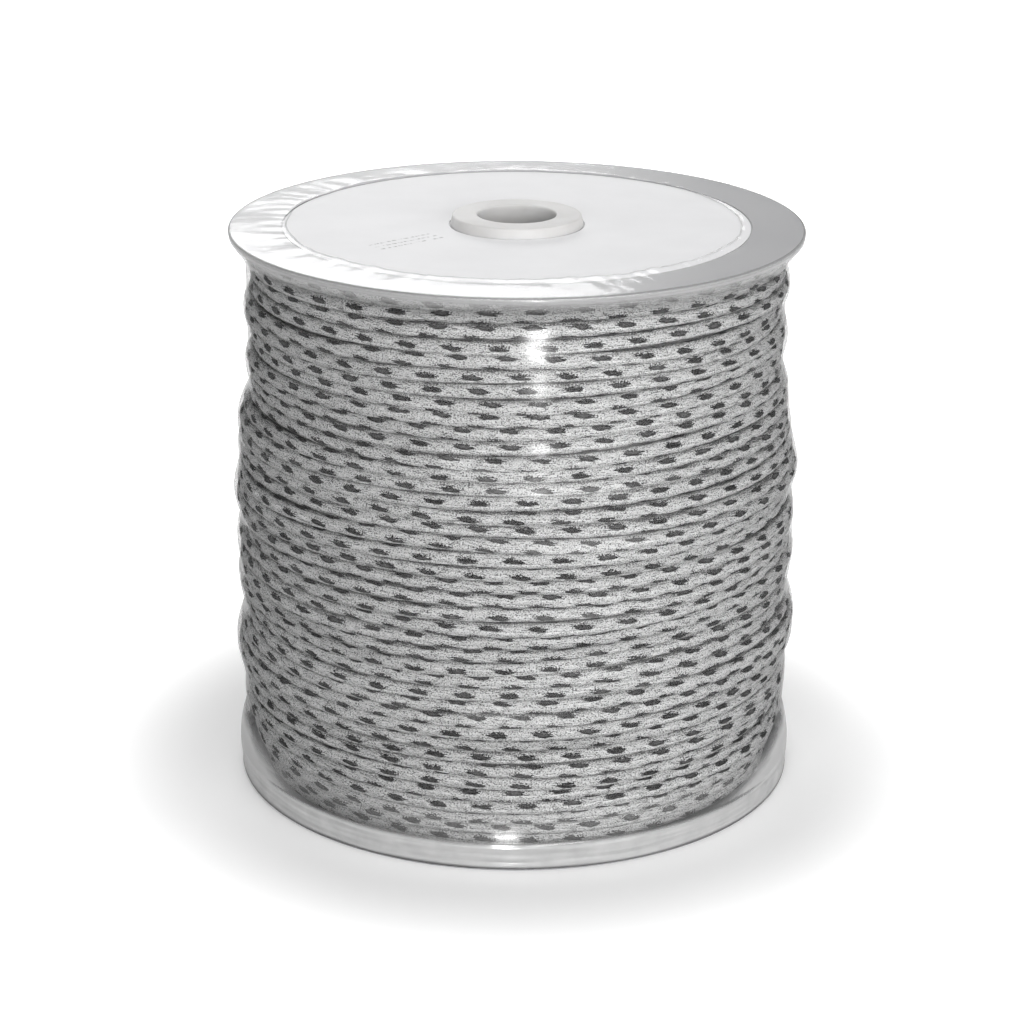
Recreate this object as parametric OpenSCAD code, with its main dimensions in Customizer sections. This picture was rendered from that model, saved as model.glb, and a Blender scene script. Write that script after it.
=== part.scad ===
// A reel of braided cord: two flanges on a drum, held together by a hub tube and two collars,
// wound nearly to the flange edge, labelled on top and sealed in clear shrink film.
// Millimetres. The origin is the centre of the foot face, and +Z runs up the spindle bore.

/* [Flanges] */
// Diameter of both flange discs
flange_d = 160; // [150:1:200]
// Height from the lower flange's outer face to the upper flange's outer face
reel_h = 160; // [120:1:220]
// Thickness of a flange disc
flange_t = 1.8; // [1.6:0.1:3]
// Rounding of a flange's edge, top and bottom
edge_r = 0.6; // [0.2:0.1:0.7]
// Height of the ring inside each flange that centres the drum
seat_h = 9; // [5:1:16]
// Wall of the ring that centres the drum
seat_wall = 2; // [1.2:0.1:4]
// Number of ribs inside each flange, from the hub socket to the drum's seat ring
rib_count = 6; // [3:1:12]
// Height of a rib above the disc
rib_h = 6; // [4:1:9]
// Thickness of a rib
rib_t = 1.6; // [1:0.1:3]
// Height of the hub socket above the disc, round each collar's skirt
socket_h = 8; // [4:1:12]
// Wall of the hub socket
socket_wall = 2; // [1.2:0.1:3]

/* [Drum] */
// Outside diameter of the drum that the cord is wound on
drum_d = 100; // [80:1:120]
// Wall of the drum
drum_wall = 2.4; // [1.5:0.1:5]
// Height of the cord's start hole above the lower flange's seat ring
start_rise = 12; // [8:1:40]

/* [Hub] */
// Diameter of the spindle bore
bore_d = 22; // [14:0.5:24]
// Wall of the hub tube
hub_wall = 2.5; // [1.5:0.1:2.8]
// Diameter of a collar's head at its base
collar_d = 37.2; // [36.8:0.2:48]
// Height of a collar's head, from its seat to its outer face
collar_h = 3; // [2.2:0.1:6]
// How much smaller in radius a collar's head is at its outer face
collar_draft = 0.5; // [0:0.1:0.8]
// Rounding of the outer edge of a collar's head
collar_round = 0.7; // [0.2:0.1:0.8]
// Rounding of the bore's mouth in a collar
mouth_round = 0.5; // [0.2:0.1:0.8]
// Thickness of the lip by which a collar covers the hub tube's end
lip_t = 1.6; // [1:0.1:2]
// Wall of the skirt that a collar pushes through its flange
skirt_wall = 1.8; // [1.2:0.1:2.2]
// Length of a collar's skirt below its seat
skirt_l = 11; // [6:1:16]
// How far the lower collar stays above the foot face
foot_clear = 0.2; // [0.1:0.1:1]

/* [Label] */
// Diameter of the paper label on the upper flange
label_d = 130; // [110:1:140]
// Thickness of the label's card
label_t = 0.2; // [0.1:0.05:0.6]
// Depth of the flat recess that takes the label in a flange's outer face
recess_depth = 0.3; // [0.2:0.1:0.6]

/* [Winding] */
// Diameter of the braided cord
cord_d = 4; // [2:0.5:6]
// Number of loops drawn in the outer layer
loops = 24; // [12:1:24]
// Gap between neighbouring loops of the outer layer
loop_gap = 0.6; // [0.5:0.1:1.5]
// How far the winding stays inside the flange's edge in its full middle, between two bands
full_margin = 1.2; // [0.5:0.1:8]
// How far the winding stays inside the edge beside the upper flange
top_margin = 4.8; // [1:0.1:12]
// Height of the narrow stretch beside the upper flange
top_narrow_h = 36; // [10:1:40]
// Height over which the winding steps out below that narrow stretch
top_step_h = 26; // [10:1:50]
// How far the winding stays inside the edge beside the lower flange
foot_margin = 7.5; // [2:0.5:20]
// Height over which the winding swells out above the lower flange
foot_swell_h = 27; // [10:1:40]
// How far the fullest band of turns stands out, pushed by the layers below it
band_out = 1.6; // [0:0.1:2]

/* [Film] */
// Thickness of the shrink film
film_t = 0.2; // [0.1:0.05:0.5]
// Height over which the film spans from the lower flange's edge to the winding
film_foot_h = 18; // [6:1:26]
// How far the film bulges out of the straight line over that span
film_bulge = 1.6; // [0:0.1:3]
// Height over which the film draws in from the upper flange's edge to the winding
film_neck_h = 6; // [3:1:20]
// How far the film's inner edge stays outside the label's recess
film_inset = 0.8; // [0.2:0.1:4]

/* [Clearances] */
// Radial gap of each pressed or slid fit
fit_gap = 0.05; // [0.02:0.01:0.1]
// Gap round the label in its recess and round the collar
label_gap = 0.4; // [0.2:0.1:1]
// Gap round a collar's head in the lower flange's well
well_gap = 0.6; // [0.3:0.1:2]
// Gap between the outer layer and what it lies beside: core, flanges and film
layer_gap = 0.3; // [0.2:0.05:0.6]
// Gap round the cord in its start hole
hole_gap = 0.3; // [0.2:0.1:1]

/* [Hidden] */

$fn = 120;
CUT = 1;                  // how far a cutting tool runs past the face that it cuts
SINK = 0.5;               // how far a rib runs into the rings at its ends
ARC_STEPS = 6;            // steps along a quarter round in a profile
PROFILE_STEPS = 56;       // steps up the winding's and the film's profiles
LOOP_RINGS = 24;          // rings along one loop of the outer layer
LOOP_SIDES = 6;           // sides of the outer layer's tube
KNOT_ROUND = 0.82;        // a knot's turn sits this many cord diameters off the cord's middle

// The winding's bands, from the foot up: height of the middle above the floor, height of the band,
// and how far it stands out as a share of band_out
BANDS = [[43, 26, 1], [70, 26, 0.7], [90, 20, 0.85], [112, 18, 0.65], [127, 12, 0.3], [142, 14, 0.45]];

flange_r = flange_d / 2;
bore_r = bore_d / 2;
drum_r = drum_d / 2;
collar_r = collar_d / 2;

// Hub, from the bore outwards
hub_r = bore_r + hub_wall;
skirt_in_r = hub_r + fit_gap;
skirt_r = skirt_in_r + skirt_wall;
socket_in_r = skirt_r + fit_gap;
socket_r = socket_in_r + socket_wall;

// Seats of the two collars: the lower one in its well, the upper one on the label's recess
well_r = collar_r + well_gap;
well_depth = collar_h + foot_clear;
lower_seat_z = well_depth;
upper_seat_z = reel_h - recess_depth;
hub_tube_bottom = lower_seat_z - collar_h + lip_t;
hub_tube_top = upper_seat_z + collar_h - lip_t;

seat_r = drum_r - drum_wall - fit_gap;
recess_r = label_d / 2 + label_gap;
start_z = flange_t + seat_h + start_rise;

// The winding runs between the flanges' inner faces
inner_bottom = flange_t;
inner_top = reel_h - flange_t;
full_r = flange_r - full_margin;
top_r = flange_r - top_margin;
foot_r = flange_r - foot_margin;

// The outer layer: loops of a hexagonal tube, flats towards their neighbours
loop_pitch = (inner_top - inner_bottom - 2 * layer_gap + loop_gap) / (loops + 1);
loop_half = (loop_pitch - loop_gap) / 2;
loop_tip = loop_half / cos(180 / LOOP_SIDES);
loop_start_z = inner_bottom + layer_gap + loop_half;

film_rim_r = flange_r + fit_gap;
film_edge_r = recess_r + film_inset;

// A smooth step from 0 to 1
function ease(s) = (1 - cos(180 * min(max(s, 0), 1))) / 2;

// A smooth hump of height and width 1 about 0
function hump(s) = abs(s) < 0.5 ? (1 + cos(360 * s)) / 2 : 0;

// How far the bands stand out at height z: each band's share times its hump, added up
function bands(z) = band_out * ([for (b = BANDS) b[2]] * [for (b = BANDS) hump((z - b[0]) / b[1])]);

// Radius of the winding's outside at height z: a quarter-sine swell above the lower flange,
// full in the middle, one smooth step in to the narrow stretch beside the upper flange, and the bands
function swell(z) = sin(90 * min(max((z - inner_bottom) / foot_swell_h, 0), 1));
function narrowing(z) = ease((z - (inner_top - top_narrow_h - top_step_h)) / top_step_h);
function winding_r(z) =
    full_r
    - (full_r - foot_r) * (1 - swell(z))
    - (full_r - top_r) * narrowing(z)
    + bands(z);

// Radius of the inner layers, just under the outer layer, whose straight stretches dip in between rings
function core_r(z) = (winding_r(z) - 2 * loop_tip) * cos(180 / LOOP_RINGS) - layer_gap;

// Inner radius of the film: on the winding, bulging out from the lower flange's edge to it,
// and straight from the upper flange's edge
function film_on(z) = winding_r(z) + layer_gap;
function span(r0, r1, s) = r0 + (r1 - r0) * s;
function film_foot(z) =
    let (s = (z - inner_bottom) / film_foot_h)
    s < 1 ? span(film_rim_r, film_on(inner_bottom + film_foot_h), s) + film_bulge * sin(180 * s) : 0;
function film_neck(z) =
    let (s = (inner_top - z) / film_neck_h)
    s < 1 ? span(film_rim_r, film_on(inner_top - film_neck_h), s) : 0;
function film_r(z) = max(film_on(z), film_foot(z), film_neck(z));

// Points of an arc about [x, y] from angle a0 to a1
function arc(x, y, r, a0, a1) =
    [for (i = [0:ARC_STEPS]) let (a = a0 + (a1 - a0) * i / ARC_STEPS) [x + r * cos(a), y + r * sin(a)]];

// Heights of a profile's points between two ends
function heights(z0, z1) = [for (i = [0:PROFILE_STEPS]) z0 + (z1 - z0) * i / PROFILE_STEPS];

// The outer layer's centre line after t loops, and the ring of points round it
function loop_z(t) = loop_start_z + loop_pitch * t;
function loop_centre(t) =
    let (z = loop_z(t), r = winding_r(z) - loop_tip)
    [r * cos(360 * t), r * sin(360 * t), z];
function ring_at(centre, angle) = [
    for (k = [0:LOOP_SIDES - 1])
        let (a = 360 * k / LOOP_SIDES)
        centre + loop_tip * [cos(a) * cos(angle), cos(a) * sin(angle), sin(a)]
];
function ring(t) = ring_at(loop_centre(t), 360 * t);

// Both ends run straight along the tangent for one tube diameter
function along(angle) = [-sin(angle), cos(angle), 0];
first_ring = ring_at(loop_centre(0) - 2 * loop_tip * along(0), 0);
last_ring = ring_at(loop_centre(loops) + 2 * loop_tip * along(360 * loops), 360 * loops);
rings = [first_ring, for (i = [0:loops * LOOP_RINGS]) ring(i / LOOP_RINGS), last_ring];

// Least distance from any ring to the rings of the next loop that lie over it
least_gap = min([
    for (i = [1:len(rings) - 2 - LOOP_RINGS])
        for (j = [i + LOOP_RINGS - 1:i + LOOP_RINGS + 1])
            for (p = rings[i])
                for (q = rings[min(j, len(rings) - 1)])
                    norm(p - q)
]);
echo(str("least gap of the outer layer to itself: ", least_gap, " mm"));

// A flange with its outer face down: disc, seat ring, hub socket and ribs, and a well for the collar
module flange(well) {
    difference() {
        union() {
            rotate_extrude() {
                polygon(concat(
                    [[0, 0]],
                    arc(flange_r - edge_r, edge_r, edge_r, -90, 0),
                    arc(flange_r - edge_r, flange_t - edge_r, edge_r, 0, 90),
                    [[0, flange_t]]
                ));
            }
            cylinder(r = well_r + flange_t, h = well + flange_t);
            cylinder(r = socket_r, h = well + flange_t + socket_h);
            difference() {
                cylinder(r = seat_r, h = flange_t + seat_h);
                translate([0, 0, flange_t]) cylinder(r = seat_r - seat_wall, h = seat_h + CUT);
            }
            for (i = [0:rib_count - 1]) {
                rotate([0, 0, 360 * i / rib_count])
                    translate([socket_r - SINK, -rib_t / 2, 0])
                        cube([seat_r - seat_wall + 2 * SINK - socket_r, rib_t, flange_t + rib_h]);
            }
        }
        translate([0, 0, -CUT]) cylinder(r = recess_r, h = recess_depth + CUT);
        translate([0, 0, -CUT]) cylinder(r = well_r, h = well + CUT);
        translate([0, 0, -CUT]) cylinder(r = socket_in_r, h = well + flange_t + socket_h + 2 * CUT);
    }
}

// A collar standing on its seat: a drafted head with a lip over the tube's end, and a skirt below
module collar() {
    head_top_r = collar_r - collar_draft;
    rotate_extrude() {
        polygon(concat(
            [
                [skirt_in_r, -skirt_l],
                [skirt_r, -skirt_l],
                [skirt_r, 0],
                [collar_r, 0]
            ],
            arc(head_top_r - collar_round, collar_h - collar_round, collar_round, 0, 90),
            arc(bore_r + mouth_round, collar_h - mouth_round, mouth_round, 90, 180),
            [
                [bore_r, collar_h - lip_t],
                [skirt_in_r, collar_h - lip_t]
            ]
        ));
    }
}

module bottom_flange() {
    color([0.74, 0.74, 0.77]) flange(well_depth);
}

module top_flange() {
    color([0.84, 0.84, 0.86]) translate([0, 0, reel_h]) mirror([0, 0, 1]) flange(0);
}

// The drum stands between the discs, outside both seat rings, and has the cord's start hole
module drum() {
    color([0.68, 0.58, 0.44]) difference() {
        translate([0, 0, inner_bottom]) cylinder(r = drum_r, h = inner_top - inner_bottom);
        translate([0, 0, inner_bottom - CUT])
            cylinder(r = drum_r - drum_wall, h = inner_top - inner_bottom + 2 * CUT);
        translate([0, 0, start_z]) rotate([0, 90, 0]) cylinder(r = cord_d / 2 + hole_gap, h = drum_r + CUT);
    }
}

module hub_tube() {
    color([0.86, 0.86, 0.82]) difference() {
        translate([0, 0, hub_tube_bottom]) cylinder(r = hub_r, h = hub_tube_top - hub_tube_bottom);
        translate([0, 0, hub_tube_bottom - CUT])
            cylinder(r = bore_r, h = hub_tube_top - hub_tube_bottom + 2 * CUT);
    }
}

module bottom_collar() {
    color([0.88, 0.88, 0.84]) translate([0, 0, lower_seat_z]) mirror([0, 0, 1]) collar();
}

module top_collar() {
    color([0.88, 0.88, 0.84]) translate([0, 0, upper_seat_z]) collar();
}

// The cord's start: out through the drum's hole to the inner layers, stopped by a knot inside
module cord_start() {
    knot_turn_r = KNOT_ROUND * cord_d;
    knot_x = drum_r - drum_wall - hole_gap - cord_d / 2;
    tail_x = knot_x - 2 * cord_d;
    color([0.8, 0.8, 0.8]) translate([0, 0, start_z]) rotate([0, 90, 0]) {
        translate([0, 0, tail_x]) cylinder(d = cord_d, h = drum_r - tail_x);
        translate([0, 0, knot_x]) rotate_extrude() translate([knot_turn_r, 0]) circle(d = cord_d);
    }
}

// The inner layers as one plain body, under the outer layer
module cord_core() {
    bottom = inner_bottom + layer_gap;
    top = inner_top - layer_gap;
    color([0.62, 0.62, 0.62]) rotate_extrude() {
        polygon(concat(
            [[drum_r + fit_gap, top], [drum_r + fit_gap, bottom]],
            [for (z = heights(bottom, top)) [core_r(z), z]]
        ));
    }
}

// The outer layer: one unbroken tube that climbs loop by loop from the lower flange to the upper
module cord_outer_layer() {
    last = len(rings) - 1;
    sides = [
        for (i = [0:last - 1])
            for (k = [0:LOOP_SIDES - 1])
                let (
                    a = i * LOOP_SIDES + k,
                    b = i * LOOP_SIDES + (k + 1) % LOOP_SIDES
                )
                each [[a, b, b + LOOP_SIDES], [a, b + LOOP_SIDES, a + LOOP_SIDES]]
    ];
    first_cap = [for (k = [1:LOOP_SIDES - 2]) [0, k + 1, k]];
    last_cap = [for (k = [1:LOOP_SIDES - 2]) let (a = last * LOOP_SIDES) [a, a + k, a + k + 1]];
    color([0.83, 0.83, 0.83])
        polyhedron(points = [for (r = rings) each r], faces = concat(sides, first_cap, last_cap));
}

module top_label() {
    color([0.93, 0.93, 0.94]) difference() {
        translate([0, 0, upper_seat_z]) cylinder(r = recess_r - label_gap, h = label_t);
        translate([0, 0, upper_seat_z - CUT]) cylinder(r = collar_r + label_gap, h = label_t + 2 * CUT);
    }
}

// The film: up the lower edge, over the winding, round the upper edge and in to the label's recess
module film_wrap() {
    corner_r = flange_r - edge_r;
    hug = edge_r + fit_gap;
    climb = heights(inner_bottom, inner_top);
    color([0.9, 0.92, 0.96, 0.25]) rotate_extrude() {
        polygon(concat(
            [[film_rim_r, edge_r], [film_rim_r + film_t, edge_r]],
            [for (z = climb) [film_r(z) + film_t, z]],
            arc(corner_r, reel_h - edge_r, hug + film_t, 0, 90),
            [[film_edge_r, reel_h + fit_gap + film_t], [film_edge_r, reel_h + fit_gap]],
            arc(corner_r, reel_h - edge_r, hug, 90, 0),
            [for (i = [PROFILE_STEPS:-1:0]) [film_r(climb[i]), climb[i]]]
        ));
    }
}

bottom_flange();
top_flange();
drum();
hub_tube();
bottom_collar();
top_collar();
cord_start();
cord_core();
cord_outer_layer();
top_label();
film_wrap();
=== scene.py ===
# %% [markdown]
# # A reel of braided cord
#
# The object is a plastic reel that holds about a hundred metres of white braid with black flecks, sealed
# in clear shrink film. Its construction comes packed as a frame: two flanges on a drum, a hub tube, two
# collars, a label, the winding and the film, each in its place. This lesson dresses that frame. It winds
# the cord turn by turn, shrinks the film over it and gives every piece its finish.
#
# Lengths are metres. Z is up, and the reel stands on the floor at Z = 0 with its axis on Z.

# %% Load the frame
import math

import bpy
import numpy as np
from mathutils import Matrix, Vector


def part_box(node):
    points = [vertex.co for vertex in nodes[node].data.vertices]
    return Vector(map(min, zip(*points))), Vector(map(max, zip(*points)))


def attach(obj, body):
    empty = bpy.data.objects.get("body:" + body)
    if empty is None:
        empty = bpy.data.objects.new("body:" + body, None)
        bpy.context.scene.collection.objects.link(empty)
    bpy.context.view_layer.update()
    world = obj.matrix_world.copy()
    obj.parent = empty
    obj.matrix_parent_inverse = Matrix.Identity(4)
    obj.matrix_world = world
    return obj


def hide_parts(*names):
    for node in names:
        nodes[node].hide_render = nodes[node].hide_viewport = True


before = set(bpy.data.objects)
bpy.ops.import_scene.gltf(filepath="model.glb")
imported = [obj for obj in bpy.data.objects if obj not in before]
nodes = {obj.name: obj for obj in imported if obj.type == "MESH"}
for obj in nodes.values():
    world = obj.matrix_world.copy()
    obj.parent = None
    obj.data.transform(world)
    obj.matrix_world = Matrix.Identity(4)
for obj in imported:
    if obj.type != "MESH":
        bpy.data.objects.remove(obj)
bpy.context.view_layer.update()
BODY = "root"
MM = 0.001
TAU = 2 * math.pi
print("pieces in the frame:", ", ".join(sorted(nodes)))

# %% [markdown]
# ## The camera
#
# A long lens from a little above shows the label as a flat ellipse and hardly narrows the reel towards
# its foot. The camera looks down at a fixed angle, leans by a fraction of a degree, and has no shift, so
# that every other view is framed in the same way.

# %% Aim the camera
LENS = 97.73  # millimetres, as the sensor's width is
SENSOR = 36
NEAR_CLIP = 10 * MM
CAMERA_PLACE = (-0.0003, -0.7556, 0.3440)
LOOK_DOWN = math.radians(19.62)
TURN_LEFT = math.radians(0.05)
LEAN = math.radians(0.29)

camera_data = bpy.data.cameras.new("camera")
camera_data.lens = LENS
camera_data.sensor_width = SENSOR
camera_data.sensor_fit = "HORIZONTAL"
camera_data.clip_start = NEAR_CLIP
camera = bpy.data.objects.new("camera", camera_data)
bpy.context.scene.collection.objects.link(camera)
camera.matrix_world = (
    Matrix.Translation(CAMERA_PLACE)
    @ Matrix.Rotation(TURN_LEFT, 4, "Z")
    @ Matrix.Rotation(math.pi / 2 - LOOK_DOWN, 4, "X")
    @ Matrix.Rotation(LEAN, 4, "Z")
)
bpy.context.scene.camera = camera
print(f"camera {camera.location.length:.3f} m from the reel's foot")

# %% [markdown]
# ## Measures
#
# Everything that the new pieces touch is measured on the frame: the flanges' edge and their two inner
# faces, which are the drum's ends. The winding's outline isn't a plain cylinder. It swells out above the
# lower flange, is full in the middle, and steps in beside the upper flange. On top of that come six
# bands, where the layers below push the outer turns out. Each band lies a little lower on one side of
# the reel than on the other, as the turns of every layer do.

# %% Measure the frame
flange_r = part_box("top_flange")[1].x
reel_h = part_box("top_flange")[1].z
inner_bottom, inner_top = (corner.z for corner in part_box("drum"))
drum_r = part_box("drum")[1].x
label_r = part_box("top_label")[1].x
label_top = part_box("top_label")[1].z
film_out_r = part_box("film_wrap")[1].x

FULL_MARGIN = 1.2 * MM  # from the flange's edge to the winding between two full bands
TOP_MARGIN = 4.8 * MM   # the same beside the upper flange
TOP_NARROW_H = 36 * MM  # height of the narrow stretch under the upper flange
TOP_STEP_H = 26 * MM    # height over which the winding steps out below it
FOOT_MARGIN = 7.5 * MM  # the margin beside the lower flange
FOOT_SWELL_H = 27 * MM  # height over which the winding swells out above it
BAND_OUT = 1.6 * MM     # how far the fullest band stands out
BANDS_MM = (            # each band's middle, its height, and its share of BAND_OUT
    (43, 26, 1.0),
    (70, 26, 0.7),
    (90, 20, 0.85),
    (112, 18, 0.65),
    (127, 12, 0.3),
    (142, 14, 0.45),
)
BAND_TILT = 3.5 * MM    # how much lower than its middle a band lies on the -X side


def ease(s):
    """A smooth step from 0 to 1: half of one minus the cosine of pi times s, with s held in 0 to 1."""
    return (1 - np.cos(np.pi * np.clip(s, 0, 1))) / 2


def outline_r(z):
    """Radius of the winding's outside at height z: the full radius, less a quarter-sine swell above the
    lower flange, less one smooth step towards the upper flange."""
    swell = np.sin(np.pi / 2 * np.clip((z - inner_bottom) / FOOT_SWELL_H, 0, 1))
    narrowing = ease((z - (inner_top - TOP_NARROW_H - TOP_STEP_H)) / TOP_STEP_H)
    foot = (FOOT_MARGIN - FULL_MARGIN) * (1 - swell)
    top = (TOP_MARGIN - FULL_MARGIN) * narrowing
    return flange_r - FULL_MARGIN - foot - top


def bands(angle, z):
    """How far the bands stand out: each is one smooth hump, half of one plus a cosine."""
    level = z - BAND_TILT * np.cos(angle)
    total = 0
    for middle, height, share in BANDS_MM:
        steps = np.clip((level / MM - middle) / height, -0.5, 0.5)
        total = total + share * BAND_OUT * (1 + np.cos(TAU * steps)) / 2
    return total


print(f"flange radius {flange_r / MM:.1f} mm")
print(f"winding from {inner_bottom / MM:.1f} to {inner_top / MM:.1f} mm")

# %% [markdown]
# ## Surfaces from grids
#
# Every new piece here is a grid of points worked out as one array. A tube is a ring carried along a
# line, and a turned piece is a profile carried round the axis. The main helper joins the points to
# quads, closes the round directions, and caps the ends. It also writes a texture coordinate for each
# corner, because a pattern that runs round a closed tube needs both 0 and 1 at the seam.


# %% Grid helpers
def turned(r, angle, z):
    """Points at this radius from the axis, angle round it and height."""
    return np.stack([r * np.cos(angle), r * np.sin(angle), z], axis=-1)


def signed_volume(points, quads):
    """Volume inside closed quads: a sixth of the sum of each triangle's triple product."""
    a, b, c, d = (points[quads[:, k]] for k in range(4))
    return np.sum(a * (np.cross(b, c) + np.cross(c, d))) / 6


def add_surface(name, points, corners=None, round_rows=False, round_cols=True, capped=False):
    """A mesh object from a grid of points, rows by columns. Quad (i, j) joins its four grid neighbours.
    corners holds one texture coordinate per grid corner, with one more line in each round direction."""
    rows, cols = points.shape[:2]
    i, j = np.meshgrid(
        np.arange(rows if round_rows else rows - 1),
        np.arange(cols if round_cols else cols - 1),
        indexing="ij",
    )
    steps = ((0, 0), (0, 1), (1, 1), (1, 0))
    quads = np.stack([((i + di) % rows) * cols + (j + dj) % cols for di, dj in steps], -1).reshape(-1, 4)
    flat = points.reshape(-1, 3)
    inside_out = signed_volume(flat, quads) < 0
    if inside_out:
        quads = quads[:, ::-1]
    faces = quads.tolist()
    if capped:
        first = list(range(cols))
        last = [(rows - 1) * cols + k for k in range(cols)]
        faces += [first, last[::-1]] if inside_out else [first[::-1], last]
    mesh = bpy.data.meshes.new(name)
    mesh.from_pydata(flat.tolist(), [], faces)
    if corners is not None:
        quad_uv = np.stack([corners[i + di, j + dj] for di, dj in steps], axis=-2).reshape(-1, 4, 2)
        if inside_out:
            quad_uv = quad_uv[:, ::-1]
        cap_uv = np.zeros((2 * cols if capped else 0, 2))
        layer = mesh.uv_layers.new(name="pattern")
        layer.uv.foreach_set("vector", np.concatenate([quad_uv.reshape(-1, 2), cap_uv]).ravel())
    mesh.shade_smooth()
    mesh.validate()
    piece = bpy.data.objects.new(name, mesh)
    bpy.context.scene.collection.objects.link(piece)
    triangles = sum(len(f) - 2 for f in faces)
    print(f"{name}: {len(flat)} points, {triangles} triangles")
    return piece


# %% [markdown]
# ## Waves round the reel
#
# Nothing wound by machine is quite even. Besides the bands there are shallow lumps, and the turns drift
# up and down together. Both come from a sum of a few sine waves. Each wave has a whole number of lobes
# round the reel, so it meets itself, and a wavelength up the reel.


# %% Wave helper
def waves(seed, count, lobes, wavelengths):
    """Random waves as rows of: share of the height, lobes round, waves per metre up, and phase."""
    draw = np.random.default_rng(seed)
    share = draw.uniform(0.5, 1, count)
    around = draw.integers(lobes[0], lobes[1] + 1, count) * draw.choice([-1, 1], count)
    up = 1 / draw.uniform(wavelengths[0], wavelengths[1], count)
    phase = draw.uniform(0, TAU, count)
    return np.stack([share / np.sqrt(np.sum(share**2) / 2), around, up, phase], axis=1)


def ripple(table, angle, z):
    """Sum over the waves of share times the sine of lobes * angle + 2 pi * z / wavelength + phase.
    Its mean square is one."""
    total = 0
    for share, around, up, phase in table:
        total = total + share * np.sin(around * angle + TAU * up * z + phase)
    return total


LUMP = 0.36 * MM               # usual height of a lump
LUMP_MOST = 1.6                # the highest lump, in usual heights
LUMP_FADE = (14 * MM, 5 * MM)  # heights over which the lumps fade beside the two flanges
LUMP_WAVES = waves(seed=11, count=9, lobes=(1, 5), wavelengths=(10 * MM, 22 * MM))
SWAY = 0.35 * MM               # usual drift of the turns up and down
SWAY_WAVES = waves(seed=5, count=6, lobes=(1, 5), wavelengths=(30 * MM, 80 * MM))
SETTLED = 0.42 * MM            # how far the turns lie inside the winding's outline
HELD_IN = 0.78 * MM            # least depth of the turns inside the film's fullest place


def lumps(angle, z):
    """Height of the lumps at an angle and a height: the waves, cut softly by a hyperbolic tangent, and
    fading to nothing beside the flanges."""
    fade = ease((z - inner_bottom) / LUMP_FADE[0]) * ease((inner_top - z) / LUMP_FADE[1])
    return LUMP * LUMP_MOST * np.tanh(ripple(LUMP_WAVES, angle, z) / LUMP_MOST) * fade


def wound_r(angle, z):
    """Radius of the turns' outside at an angle and a height: the outline, less the depth to which the
    turns have settled, plus the bands and the lumps, and no further out than the film holds them."""
    free_r = outline_r(z) - SETTLED + bands(angle, z) + lumps(angle, z)
    return np.minimum(free_r, film_out_r - HELD_IN)


print(f"lumps of about {LUMP / MM:.2f} mm")

# %% [markdown]
# ## The winding
#
# The outer layer is one unbroken cord that climbs from the lower flange to the upper in about forty
# turns. A coil made as stacked rings would be easier, but the cord's own slope and its two ends are part
# of what a winding is, so this one is a true helix. The cord is soft: its section is a rounded box,
# taller than the pitch, so that neighbours press together and hide the layer below. Some turns ride up
# on their neighbours and others sink between them, and the last few are pushed up against the upper
# flange. Most of a section's points lie on its outer half, which is the half that shows.
#
# The braid's relief is in the mesh too. Each strand that comes to the surface is a long rounded pick,
# and the picks lie in a lattice, with each of its eight rows a quarter of a pick further along than the
# last. The mesh is fine enough to carry them, so it is cut into lengths of about ten turns. Each point
# also keeps how far it is pressed out of sight between two turns, from which the finish paints shade
# into the seams.

# %% Cord sizes
CORD_TALL = 3.95 * MM     # height of a turn, pressed on by its neighbours
CORD_DEEP = 3.8 * MM
TURN_PITCH = 3.75 * MM
FLANGE_GAP = 0.3 * MM     # between an end turn and its flange
SECTION_POWER = 0.95      # below 1 makes the section boxier than an ellipse
SECTION_POINTS = 16
SECTION_CROWDING = 0.42   # share by which the points gather on the outer half
RINGS_PER_TURN = 440
LENGTHS = 4               # meshes that the outer layer is cut into
RIDE = 0.38 * MM          # usual height by which a turn rides over or under its neighbours
RIDE_MOST = 0.45 * MM
RIDE_RATES = (0.23, 2.6)  # the slowest and fastest of its waves, in waves per turn
RIDE_BARES = 0.10         # how much less of a turn is hidden, and painted in seam shade, where it rides highest
JITTER = 0.20 * MM        # usual sideways wander of one turn against the next
JITTER_RATES = (0.7, 4.3)
TUCK_TURNS = 0.06         # length of the stretch in which an end dives under the layer
TUCK_DEPTH = 2.2 * MM
TIP = 2.4 * MM            # length of an end's rounded tip
TIP_CUT = 0.04            # share of that length at which the tip is capped
END_LIFT = 1.0 * MM       # how far the last turns are pushed up towards the upper flange
END_LIFT_TURNS = 5        # number of turns over which that grows
END_DROP_TURNS = 0.5      # length of the last stretch, over which it goes back to nothing
START_ANGLE = TAU / 4     # both ends lie at the back
FLECK_PERIOD = 12.0 * MM  # along the cord, from one fleck to the next in its row
TWIST_PER_TURN = 0.13     # turns of the cord about itself in one turn round the reel
TWIST_WANDER = 0.07
TWIST_RATES = (0.3, 2.1)
ROWS_ROUND = 8            # rows of picks round the cord
PICKS_PER_PERIOD = 2
ROW_STEP = 0.25           # how far each row's picks lie ahead of the last row's, in picks
PICK_LEVEL = 0.4          # share of a pick's height that doesn't fall towards its ends
RELIEF = 0.24 * MM        # from a pick's edge to its top


def wander(turn, rates, seed, count=7):
    """A smooth random wobble along the cord: a sum of sines with this range of waves per turn, of mean
    square one."""
    draw = np.random.default_rng(seed)
    total = 0
    for rate, phase in zip(draw.uniform(*rates, count), draw.uniform(0, TAU, count)):
        total = total + np.sin(TAU * rate * turn + phase)
    return total / math.sqrt(count / 2)


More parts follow.
